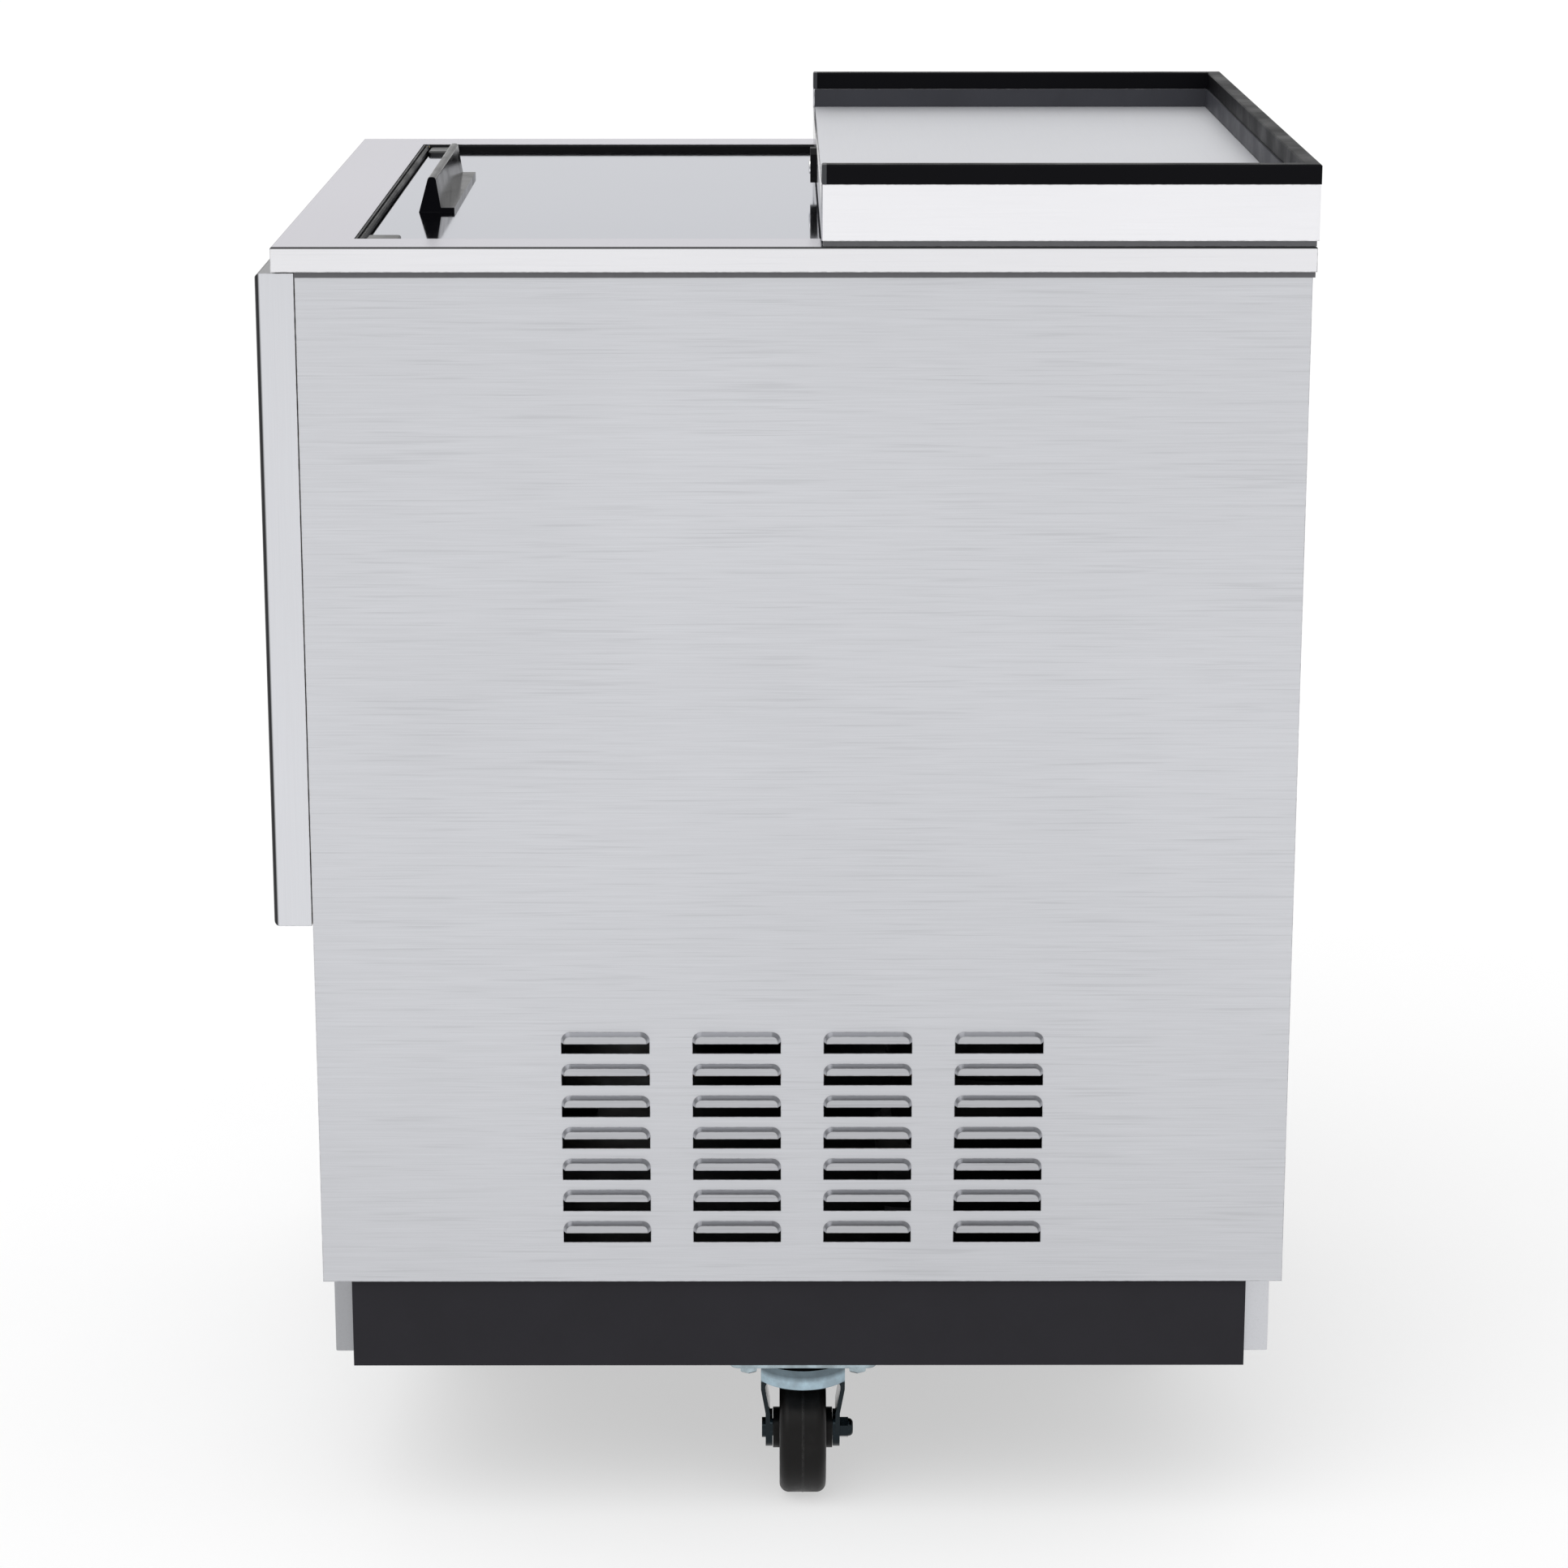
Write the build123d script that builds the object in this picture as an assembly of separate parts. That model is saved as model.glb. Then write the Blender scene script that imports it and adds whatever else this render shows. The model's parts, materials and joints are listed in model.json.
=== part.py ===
from build123d import *
import os

# A stainless slide-top chest cooler on four swivel casters.
# Millimetres. +X is the user's right, -Y the front, +Z up. The origin is on the floor, under the
# middle of the overall box.

# ---- driving dimensions ----
WIDTH = 620.0            # deck, side to side
DEPTH = 675.0            # apron front to housing rear
HEIGHT = 927.0           # floor to rail top
CASTER_H = 114.0         # floor to the top of a caster plate
SHEET = 1.2              # stainless sheet thickness
FIT = 0.2                # gap between neighbouring fixed pieces
RUN = 0.05               # radial clearance of a running fit
SEAM = 0.7               # open seam between the apron and a side panel

# ---- cabinet outline ----
DECK_X = WIDTH / 2
FRONT = -DEPTH / 2
REAR = DEPTH / 2
PANEL_X = 306.0          # outer face of a side panel
BODY_FRONT = -311.0
BODY_REAR = 334.0
DECK_FRONT = -325.7
DECK_REAR = 336.2
BODY_Z = 176.4           # lower edge of the cabinet
PANEL_TOP = 855.4
DECK_TOP = 875.2
DECK_LIP = 16.0          # height of the deck's turned-down edge
FLANGE = 16.0            # width of a side panel's turned-in edge
CEILING_Z = 402.0        # top of the machine compartment's ceiling
APRON_BOTTOM = 426.4
APRON_TOP = 858.0
APRON_FACE = FRONT + 0.8
APRON_R = 4.0

# ---- pressed louvres ----
LOUVER_L = 58.6
LOUVER_H = 15.0
LOUVER_LIP = 8.0         # height of a hood's lower edge above the bottom of its hole
LOUVER_OUT = DECK_X - PANEL_X
LOUVER_R = 6.0
LOUVER_TAPER = 25.0
SIDE_COLUMNS = [-148.8, -61.7, 25.4, 112.5]
SIDE_ROWS = 7
ROW_PITCH = 22.2
SIDE_FIRST_TOP = 352.7

# ---- cold box ----
TUB_X = 251.0
TUB_FRONT = -263.0
TUB_REAR = 266.0
TUB_BOTTOM = 428.0
TUB_TOP = 838.0
TUB_R = 20.0
OPEN_X = 270.0           # deck opening, half width
OPEN_FRONT = -276.2
OPEN_REAR = 300.0
BULKHEAD_FRONT = 22.0
BULKHEAD_BOTTOM = 796.0
COVER_Y = 165.0          # front face of the evaporator cover
DRAIN_X = -150.0
DRAIN_Y = 60.0

SUCTION_X = -60.0        # where the refrigerant lines go through the floor of the cold box
SUCTION_Y = 240.0
DRAIN_HOLE_R = 15.0
SUCTION_HOLE_R = 12.0

# ---- lid and its tracks ----
LID_X = 267.5
LID_FRONT = -270.8
LID_REAR = 42.0
LID_TOP = 870.6
LID_BOTTOM = 847.0
LID_EDGE_Z = 849.6       # lower edge of the lid's outer skin
LID_SKIN = 1.0
LEDGE_Z = 845.1          # top of the track ledge under the lid
TRACK_TOP = 874.8
TRACK_X = OPEN_X - 0.3   # back of a side track's wall
TRACK_WALL = 1.4
TRACK_FRONT = OPEN_FRONT + 15
TRIM_BACK = OPEN_FRONT + 0.3
TRIM_FACE = -271.5       # the front trim's face towards the lid
HANDLE_Y = -248.8        # front foot of the handle
HANDLE_L = 205.0
HANDLE_H = 24.0
CORNER_CAP_T = 2.9
STRIKE_Y = 27.5          # front face of the lock's strike

# ---- rear housing ----
HOUSE_X = 309.0
HOUSE_FRONT = 22.7
HOUSE_REAR = REAR
HOUSE_BOTTOM = 878.8
HOUSE_TOP = 914.5
TRAY_Z = 901.0
RAIL_W = 10.5
RAIL_CAP = 3.0           # thickness of a rail's end plug
SKIRTING_T = 1.4
CAM_REACH = 10.0
LOCK_Z = 890.0
LOCK_R = 8.0
PLUG_R = 5.5

# ---- base ----
SKIRT_X = 302.0
SKIRT_FRONT = -292.3
SKIRT_REAR = 310.4
KICK_X = 288.0
KICK_BOTTOM = 119.0
KICK_FRONT = -305.8
KICK_REAR = 328.1
TUBE_W = 70.0
TUBE_WALL = 2.5
FRAME_X = 300.6

# ---- casters ----
WHEEL_R = 44.45
WHEEL_W = 32.0
TRAIL = 20.0
PLATE_L = 100.0
PLATE_W = 67.0
PLATE_T = 3.5
CUP_R = 24.0             # bearing cup under the plate
CROWN_R = 33.0           # the fork's crown, round in plan
HUB_HALF = 20.5
BOLT_L = 74.0            # bolt spacing along the plate
BOLT_W = 46.0            # bolt spacing across the plate
BOLT_R = 4.0
FORK_HALF = 28.7
FORK_FOOT = 25.6
FORK_WALL = 3.0
KINGPIN_R = 5.0
AXLE_R = 4.0
SLEEVE_R = 6.0
CASTERS = {
    "right": (267.0, 12.0, 180.0),
    "left": (-267.0, 12.0, 0.0),
    "front": (0.0, -257.0, 90.0),
    "rear": (0.0, 275.0, 270.0),
}

# ---- machine compartment and rear ----
FLOOR_Z = 178.0          # top of the bottom pan
GLAND_X = -230.0
GLAND_Z = 240.0
GLAND_R = 9.0
GLAND_BORE = 4.5
SCREW_R = 1.9
FAN_X = -60.0
FAN_Z = 292.0
FAN_R = 88.0
EVAP_FAN_Z = 640.0
EVAP_FAN_R = 56.0
COMPRESSOR_X = 130.0
COMPRESSOR_Y = 150.0


def block(x0, x1, y0, y1, z0, z1):
    """A box between six planes."""
    return Pos((x0 + x1) / 2, (y0 + y1) / 2, (z0 + z1) / 2) * Box(x1 - x0, y1 - y0, z1 - z0)


def rounded_block(x0, x1, y0, y1, z0, z1, radius):
    """A box whose upright edges are rounded."""
    outline = RectangleRounded(x1 - x0, y1 - y0, radius)
    return extrude(Pos((x0 + x1) / 2, (y0 + y1) / 2, z0) * outline, z1 - z0)


def rod(start, end, radius):
    """A round bar from one point to another."""
    line = Vector(*end) - Vector(*start)
    return extrude(Plane(start, z_dir=line) * Circle(radius), line.length)


def ring(start, end, outer, inner):
    """A round tube from one point to another."""
    return rod(start, end, outer) - rod(start, end, inner)


def profile_x(points, x0, x1):
    """A solid with a (y, z) outline, from x0 to x1."""
    face = Plane((x0, 0, 0), x_dir=(0, 1, 0), z_dir=(1, 0, 0)) * Polygon(*points, align=None)
    return extrude(face, x1 - x0, dir=(1, 0, 0))


def profile_y(points, y0, y1):
    """A solid with an (x, z) outline, from y0 to y1."""
    face = Plane((0, y0, 0), x_dir=(1, 0, 0), z_dir=(0, -1, 0)) * Polygon(*points, align=None)
    return extrude(face, y1 - y0, dir=(0, 1, 0))


def both_sides(solid):
    """The solid and its mirror image across the middle plane."""
    return [solid, mirror(solid, about=Plane.YZ)]


def write(node, *shapes):
    """Write one node as a STEP file, as one solid or as a group of solids."""
    solids = [solid for shape in shapes for solid in shape.solids()]
    whole = solids[0] if len(solids) == 1 else Compound(children=solids)
    export_step(whole, os.path.join("parts", node + ".step"))


# ---- louvres: a hood that opens downwards, over a rectangular hole ----
def louver_cone(inset, base):
    """Half of a tapered pad: its flat lower face is the hood's mouth."""
    length = LOUVER_L - 2 * inset
    half_height = LOUVER_H - LOUVER_LIP - inset
    plane = Plane((0, 0, LOUVER_LIP), x_dir=(0, 1, 0), z_dir=(1, 0, 0))
    outline = RectangleRounded(length, 2 * half_height, LOUVER_R - inset)
    pad = extrude(plane * outline, LOUVER_OUT - inset, taper=LOUVER_TAPER)
    if base > 0:
        pad = pad + extrude(plane * outline, -base)
    lower = block(-base - 1, LOUVER_OUT + 1, -LOUVER_L, LOUVER_L, -LOUVER_H, LOUVER_LIP)
    return pad - lower


def louvers(places):
    """Hoods and holes for a sheet whose outer face is x = 0, at (y, top z) places."""
    hood = louver_cone(0, 0) - louver_cone(SHEET, 2)
    slot = block(-2, 0.1, -LOUVER_L / 2, LOUVER_L / 2, 0, LOUVER_LIP)
    hole = louver_cone(SHEET, 2) + slot
    hoods = [Pos(0, y, top - LOUVER_H) * hood for y, top in places]
    holes = [Pos(0, y, top - LOUVER_H) * hole for y, top in places]
    return hoods, holes


def louvered(sheet, places, where):
    """A sheet with louvres pressed out of it, placed by a location."""
    hoods, holes = louvers(places)
    cut = sheet - [where * hole for hole in holes]
    return cut + [where * hood for hood in hoods]


# ---- cabinet shell ----
def side_panel():
    inner = PANEL_X - SHEET
    sheet = block(inner, PANEL_X, BODY_FRONT, BODY_REAR, BODY_Z, PANEL_TOP)
    front_edge = block(PANEL_X - FLANGE, inner, BODY_FRONT, BODY_FRONT + SHEET, BODY_Z, APRON_BOTTOM - 1)
    rear_edge = block(PANEL_X - FLANGE, inner, BODY_REAR - SHEET, BODY_REAR, BODY_Z, PANEL_TOP)
    tops = [SIDE_FIRST_TOP - row * ROW_PITCH for row in range(SIDE_ROWS)]
    places = [(y + LOUVER_L / 2, top) for y in SIDE_COLUMNS for top in tops]
    return louvered(sheet + front_edge + rear_edge, places, Pos(PANEL_X, 0, 0))


def front_apron():
    outer = block(-PANEL_X, PANEL_X, APRON_FACE, BODY_FRONT - SEAM, APRON_BOTTOM, APRON_TOP)
    front_edges = outer.edges().group_by(Axis.Y)[0]
    uprights = outer.edges().filter_by(Axis.Z).group_by(Axis.Y)[0]
    outer = fillet(front_edges + uprights, APRON_R)
    hollow = block(-PANEL_X + SHEET, PANEL_X - SHEET, APRON_FACE + SHEET, BODY_FRONT + 1,
                   APRON_BOTTOM + SHEET, APRON_TOP - SHEET)
    hollow = fillet(hollow.edges().group_by(Axis.Y)[0], APRON_R - SHEET)
    return outer - hollow - controller_pocket(0)


def controller_pocket(gap):
    """The space that the temperature controller takes in the apron and the foam."""
    return block(-35.5 - gap, 35.5 + gap, FRONT - 1, -282 + gap, 502 - gap, 531 + gap)


def end_sheet(y0, y1, z0, z1):
    """A flat sheet between the side panels' turned-in edges."""
    half = PANEL_X - FLANGE - FIT
    return block(-half, half, y0, y1, z0, z1)


def front_grille():
    sheet = end_sheet(BODY_FRONT, BODY_FRONT + SHEET, BODY_Z, APRON_BOTTOM - 1)
    columns = [-189, -63, 63, 189]
    places = [(x, 400 - row * ROW_PITCH) for x in columns for row in range(10)]
    return louvered(sheet, places, Pos(0, BODY_FRONT, 0) * Rot(0, 0, -90))


def rear_grille():
    sheet = end_sheet(BODY_REAR - SHEET, BODY_REAR, BODY_Z, CEILING_Z)
    places = [(x, 372 - row * ROW_PITCH) for x in (-105, -20, 65) for row in range(8)]
    # Rows end short of the rear housing's plane, so the hoods are pressed in, not out.
    where = Pos(0, BODY_REAR - SHEET, 0) * Rot(0, 0, -90)
    sheet = louvered(sheet, places, where)
    sheet = sheet - rod((GLAND_X, 300, GLAND_Z), (GLAND_X, REAR, GLAND_Z), GLAND_R + FIT)
    return sheet - [screw_hole(x, z) for x, z in grille_screws()]


def grille_screws():
    return [(x, z) for x in (-280, 280) for z in (195, 385)]


def panel_screw_places():
    return [(x, z) for x in (-280, 0, 280) for z in (420, 630, 840)]


def screw_hole(x, z):
    return rod((x, BODY_REAR - 4, z), (x, BODY_REAR + 1, z), SCREW_R + 0.1)


def rear_panel():
    sheet = end_sheet(BODY_REAR - SHEET, BODY_REAR, CEILING_Z + FIT, PANEL_TOP)
    return sheet - [screw_hole(x, z) for x, z in panel_screw_places()]


def panel_screws():
    screws = []
    for x, z in grille_screws() + panel_screw_places():
        head = rod((x, BODY_REAR, z), (x, BODY_REAR + 2.2, z), 4.2)
        head = fillet(head.edges().group_by(Axis.Y)[-1], 1.2)
        cross = block(x - 2.6, x + 2.6, BODY_REAR + 1.2, BODY_REAR + 3, z - 0.5, z + 0.5)
        cross = cross + block(x - 0.5, x + 0.5, BODY_REAR + 1.2, BODY_REAR + 3, z - 2.6, z + 2.6)
        shank = rod((x, BODY_REAR - SHEET, z), (x, BODY_REAR, z), SCREW_R)
        screws.append(head + shank - cross)
    return screws


def bottom_pan():
    half = PANEL_X - SHEET - FIT
    y0, y1 = BODY_FRONT + SHEET + FIT, BODY_REAR - SHEET - FIT
    pan = block(-half, half, y0, y1, BODY_Z, FLOOR_Z)
    edge = block(-half, half, y0, y0 + SHEET, FLOOR_Z, FLOOR_Z + 12)
    holes = [rod((x, y, BODY_Z - 1), (x, y, FLOOR_Z + 1), 4.3) for x, y in compressor_feet()]
    return pan + edge - holes


def compartment_ceiling():
    half = PANEL_X - SHEET - FIT
    sheet = block(-half, half, BODY_FRONT + 3, BODY_REAR - 3, CEILING_Z - SHEET, CEILING_Z)
    return sheet - floor_holes()


# ---- cold box ----
def floor_holes():
    """Where the drain and the refrigerant lines leave the cold box."""
    return [rod((DRAIN_X, DRAIN_Y, CEILING_Z - 10), (DRAIN_X, DRAIN_Y, TUB_BOTTOM + 10), DRAIN_HOLE_R),
            rod((SUCTION_X, SUCTION_Y, CEILING_Z - 10), (SUCTION_X, SUCTION_Y, TUB_BOTTOM + 10),
                SUCTION_HOLE_R)]


def foam_boards():
    """Foam between the shell and the tub, and in the border around the deck opening."""
    side = PANEL_X - SHEET - FIT
    front, rear = BODY_FRONT + SHEET + FIT, BODY_REAR - SHEET - FIT
    low, brim = CEILING_Z + FIT, TUB_TOP - SHEET - FIT
    floor = block(-TUB_X, TUB_X, front, rear, low, TUB_BOTTOM - FIT) - floor_holes()
    flank = block(TUB_X + FIT, side, front, rear, low, brim)
    ahead = block(-TUB_X, TUB_X, front, TUB_FRONT - FIT, TUB_BOTTOM, brim) - controller_pocket(FIT)
    behind = block(-TUB_X, TUB_X, TUB_REAR + FIT, rear, TUB_BOTTOM, brim)
    top = DECK_TOP - SHEET - FIT
    flank_strip = block(OPEN_X + FIT, side, front, rear, brim + FIT, top)
    front_strip = block(-OPEN_X, OPEN_X, front, OPEN_FRONT - FIT, brim + FIT, top)
    rear_strip = block(-OPEN_X, OPEN_X, OPEN_REAR + FIT, rear, brim + FIT, top)
    half = PANEL_X - FLANGE
    in_apron = block(-half, half, APRON_FACE + SHEET + FIT, front - FIT,
                     APRON_BOTTOM + SHEET + FIT, APRON_TOP - SHEET - FIT)
    in_apron = fillet(in_apron.edges().group_by(Axis.Y)[0], APRON_R) - controller_pocket(FIT)
    return [floor, ahead, behind, front_strip, rear_strip, in_apron,
            *both_sides(flank), *both_sides(flank_strip)]


def inner_tub():
    outer = rounded_block(-TUB_X, TUB_X, TUB_FRONT, TUB_REAR, TUB_BOTTOM, TUB_TOP, TUB_R)
    brim = block(-OPEN_X + FIT, OPEN_X - FIT, OPEN_FRONT + FIT, OPEN_REAR - FIT, TUB_TOP - SHEET, TUB_TOP)
    inner = rounded_block(-TUB_X + SHEET, TUB_X - SHEET, TUB_FRONT + SHEET, TUB_REAR - SHEET,
                          TUB_BOTTOM + SHEET, TUB_TOP + 1, TUB_R - SHEET)
    return outer + brim - inner - floor_holes()


def rear_bulkhead():
    half = TUB_X - SHEET - FIT
    rear = TUB_REAR - SHEET - FIT
    slab = rounded_block(-half, half, BULKHEAD_FRONT - 60, rear, BULKHEAD_BOTTOM, TUB_TOP + 2, TUB_R)
    ahead = block(-half - 1, half + 1, BULKHEAD_FRONT - 70, BULKHEAD_FRONT, BULKHEAD_BOTTOM - 1, 850)
    slab = slab - ahead
    return fillet(slab.edges().filter_by(Axis.X).group_by(Axis.Y)[0], 4)


def floor_rack():
    x_end, y0, y1, z = 236.0, -248.0, 150.0, 440.0
    columns = [-x_end + i * 2 * x_end / 14 for i in range(15)]
    rows = [y0 + i * (y1 - y0) / 4 for i in range(5)]
    along_y = [rod((x, y0, z), (x, y1, z), 2.2) for x in columns]
    along_x = [rod((-x_end, y, z - 2), (x_end, y, z - 2), 3.0) for y in rows]
    feet = [rod((x, y, TUB_BOTTOM + SHEET), (x, y, z - 2), 3.0)
            for x in (columns[1], columns[-2]) for y in (rows[1], rows[-2])]
    return along_x[0].fuse(*along_x[1:], *along_y, *feet)


def bin_divider(x):
    y0, y1, z0, z1, bend = -250.0, 152.0, 446.0, 690.0, 18.0
    rim_line = FilletPolyline((x, y0, z0), (x, y1, z0), (x, y1, z1), (x, y0, z1), radius=bend, close=True)
    start = rim_line @ 0
    rim = sweep(Plane(start, z_dir=rim_line % 0) * Circle(2.6), path=rim_line)
    uprights = [y0 + i * (y1 - y0) / 12 for i in range(1, 12)]
    wires = [rod((x, y, z0), (x, y, z1), 1.6) for y in uprights]
    wires += [rod((x, y0, z), (x, y1, z), 1.6) for z in (z0 + 80, z0 + 160)]
    return rim.fuse(*wires)


def drain_pipe():
    fitting = ring((DRAIN_X, DRAIN_Y, 429.4), (DRAIN_X, DRAIN_Y, 431.4), 19, 8)
    tube = ring((DRAIN_X, DRAIN_Y, 205), (DRAIN_X, DRAIN_Y, 429.4), 11, 8)
    nut = ring((DRAIN_X, DRAIN_Y, 410), (DRAIN_X, DRAIN_Y, 418), 14, 10.9)
    return fitting + tube + nut


def drain_pan():
    outer = block(-222, -70, 0, 120, FLOOR_Z + FIT, FLOOR_Z + 32)
    outer = fillet(outer.edges().filter_by(Axis.Z), 12)
    inner = offset(outer, amount=-1.5)
    inner = inner + Pos(0, 0, 10) * inner
    return outer - inner


# ---- evaporator, behind its cover at the back of the tub ----
def evaporator_cover():
    half = TUB_X - SHEET - 6
    z0, z1 = 470.0, BULKHEAD_BOTTOM - 1
    front = block(-half, half, COVER_Y, COVER_Y + SHEET, z0, z1)
    shelf = block(-half, half, COVER_Y + SHEET, TUB_REAR - SHEET - 8, z0, z0 + SHEET)
    guard = [ring((0, COVER_Y - 1, EVAP_FAN_Z), (0, COVER_Y + 3, EVAP_FAN_Z), r + 9, r)
             for r in (14, 30, 46)]
    spokes = [block(-70, 70, COVER_Y - 2, COVER_Y + 4, EVAP_FAN_Z - 2, EVAP_FAN_Z + 2),
              block(-2, 2, COVER_Y - 2, COVER_Y + 4, EVAP_FAN_Z - 70, EVAP_FAN_Z + 70)]
    windows = [cut - spokes for cut in guard]
    slots = [block(x - 40, x + 40, COVER_Y - 1, COVER_Y + 3, z, z + 6)
             for x in (-170, 170) for z in range(500, 740, 24)]
    returns = [block(x - 60, x + 60, COVER_Y + 20, COVER_Y + 80, z0 - 1, z0 + 3) for x in (-150, 0, 150)]
    return front + shelf - windows - slots - returns


def fin_coil(x0, x1, y0, y1, z0, z1, pitch, rows):
    """Aluminium fins on serpentine tubes, with a bend at each tube's end."""
    fins = [block(x, x + 1.0, y0, y1, z0, z1) for x in frange(x0, x1 - 1, pitch)]
    depth = (y1 - y0) / 2
    tubes = []
    for column in (y0 + depth / 2, y1 - depth / 2):
        for row in range(rows):
            z = z0 + (row + 0.5) * (z1 - z0) / rows
            tubes.append(rod((x0 - 8, column, z), (x1 + 8, column, z), 4.5))
            if row + 1 < rows:
                side = x1 + 8 if row % 2 == 0 else x0 - 8
                turn = (z1 - z0) / rows
                bend_plane = Plane((side, column, z + turn / 2), x_dir=(1, 0, 0), z_dir=(0, 1, 0))
                hoop = bend_plane * Torus(turn / 2, 4.5)
                reach = turn if side > 0 else -turn
                half = block(min(side, side + reach), max(side, side + reach),
                             column - 6, column + 6, z - 6, z + turn + 6)
                tubes.append(hoop & half)
    return fins[0].fuse(*fins[1:], *tubes)


def frange(start, stop, step):
    count = int((stop - start) / step) + 1
    return [start + i * step for i in range(count)]


def fan(centre, radius, hub_r, depth, blades, bore):
    """Hub and pitched blades, turning about an axis along Y."""
    x, y, z = centre
    hub = ring((x, y - depth / 2, z), (x, y + depth / 2, z), hub_r, bore)
    pitch = 26.0
    reach = radius - hub_r + 3
    shape = Pos(hub_r - 3 + reach / 2, 0, 0) * Rot(pitch, 0, 0) * Box(reach, 2.0, radius * 0.62)
    shape = fillet(shape.edges().filter_by(lambda e: abs(e.length - 2.0) < 0.01), radius * 0.12)
    turned = [Pos(x, y, z) * Rot(0, i * 360 / blades, 0) * shape for i in range(blades)]
    wheel = hub.fuse(*turned)
    return wheel - rod((x, y - depth, z), (x, y + depth, z), bore)


def evaporator_fan_motor():
    y = COVER_Y + SHEET
    can = rod((0, y + 26, EVAP_FAN_Z), (0, y + 40, EVAP_FAN_Z), 26)
    shaft = rod((0, y + 6, EVAP_FAN_Z), (0, y + 27, EVAP_FAN_Z), 3.0)
    bar = block(-76, 76, y + 30, y + 33, EVAP_FAN_Z - 8, EVAP_FAN_Z + 8)
    posts = [block(x - 2, x + 2, y, y + 33, EVAP_FAN_Z - 8, EVAP_FAN_Z + 8) for x in (-74, 74)]
    return can + shaft + bar + posts


def temperature_probe():
    probe = rod((-190, COVER_Y - 6, 700), (-190, COVER_Y - 6, 745), 3.0)
    clip = block(-194, -186, COVER_Y - 9.5, COVER_Y, 715, 727)
    return probe + clip


# ---- deck, tracks and trims ----
def deck_top():
    outer = block(-DECK_X, DECK_X, DECK_FRONT, DECK_REAR, DECK_TOP - DECK_LIP, DECK_TOP)
    outer = fillet(outer.edges().group_by(Axis.Z)[-1], 1.5)
    hollow = block(-DECK_X + SHEET, DECK_X - SHEET, DECK_FRONT + SHEET, DECK_REAR - SHEET,
                   DECK_TOP - DECK_LIP - 1, DECK_TOP - SHEET)
    opening = block(-OPEN_X, OPEN_X, OPEN_FRONT, OPEN_REAR, DECK_TOP - DECK_LIP, DECK_TOP + 1)
    return outer - hollow - opening


def deck_seal():
    x = DECK_X - 0.8
    inner = PANEL_X - SHEET
    z0, z1 = PANEL_TOP + FIT, DECK_TOP - DECK_LIP - FIT
    outer = block(-x, x, BODY_FRONT + FIT, DECK_REAR - 1, z0, z1)
    return outer - block(-inner, inner, BODY_FRONT - 1, BODY_REAR - SHEET, z0 - 1, z1 + 1)


def track_wall(z0):
    """Outline of a side track's wall above z0, with a bead along its top."""
    face = TRACK_X - TRACK_WALL
    return [(TRACK_X, z0), (TRACK_X, TRACK_TOP), (face, TRACK_TOP), (face, TRACK_TOP - 0.8),
            (face - 0.6, TRACK_TOP - 1.2), (face - 0.6, TRACK_TOP - 1.7), (face, TRACK_TOP - 2.1), (face, z0)]


def lid_track():
    """A track on the right: its wall, and the ledge that the lid slides on behind the front trim."""
    rear = OPEN_REAR - 0.5
    wall = profile_y(track_wall(TUB_TOP + FIT), TRACK_FRONT, rear)
    ledge = block(TUB_X - 1, TRACK_X - TRACK_WALL / 2, TRACK_FRONT, rear, TUB_TOP + FIT, LEDGE_Z)
    front_end = profile_y(track_wall(LEDGE_Z + FIT), TRIM_FACE + FIT, TRACK_FRONT)
    return wall + ledge + front_end


def track_front_trim():
    """Front trim: an outer lip, a groove and a bead along its top, and the ledge below."""
    back, top = TRIM_BACK, TRACK_TOP
    section = [(TUB_FRONT + 1, TUB_TOP + FIT), (back, TUB_TOP + FIT), (back, top), (back + 1.3, top),
               (back + 1.3, top - 1.6), (back + 2.4, top - 1.6), (back + 2.4, top - 0.7),
               (back + 3.3, top - 0.7), (TRIM_FACE, top - 2.0), (TRIM_FACE, LEDGE_Z), (TUB_FRONT + 1, LEDGE_Z)]
    return profile_x(section, -TRACK_X, TRACK_X)


# ---- lid ----
def lid_outer_skin():
    outer = block(-LID_X, LID_X, LID_FRONT, LID_REAR, LID_EDGE_Z, LID_TOP)
    outer = fillet(outer.edges().group_by(Axis.Z)[-1], 1.6)
    t = LID_SKIN
    hollow = block(-LID_X + t, LID_X - t, LID_FRONT + t, LID_REAR - t, LID_EDGE_Z - 1, LID_TOP - t)
    return outer - hollow


def lid_core():
    gap = LID_SKIN + FIT
    return block(-LID_X + gap, LID_X - gap, LID_FRONT + gap, LID_REAR - gap,
                 LID_BOTTOM + 1.2 + FIT, LID_TOP - gap)


def lid_inner_skin():
    gap = LID_SKIN + FIT
    sheet = block(-LID_X + gap, LID_X - gap, LID_FRONT + gap, LID_REAR - gap, LID_BOTTOM, LID_BOTTOM + 1.2)
    return fillet(sheet.edges().filter_by(Axis.Z), 4)


def lid_runner():
    return block(254, 266, LID_FRONT + 6, LID_REAR - 6, LEDGE_Z + 0.3, LID_BOTTOM)


def lid_handle():
    y, z = HANDLE_Y, LID_TOP
    section = [(y, z), (y + 6.7, z + HANDLE_H), (y + 11.6, z + HANDLE_H), (y + 15.0, z + 3.2),
               (y + 24.2, z + 3.2), (y + 24.2, z)]
    bar = profile_x(section, -HANDLE_L / 2, HANDLE_L / 2)
    return fillet(bar.edges().filter_by(Axis.X).group_by(Axis.Z)[-1], 2.2)


def lid_corner_cap():
    cap = block(LID_X - 30, LID_X - 0.5, LID_FRONT + 0.6, LID_FRONT + 22, LID_TOP, LID_TOP + CORNER_CAP_T)
    cap = fillet(cap.edges().filter_by(Axis.Z), 2.5)
    return fillet(cap.edges().group_by(Axis.Z)[-1], 1.6)


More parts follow.
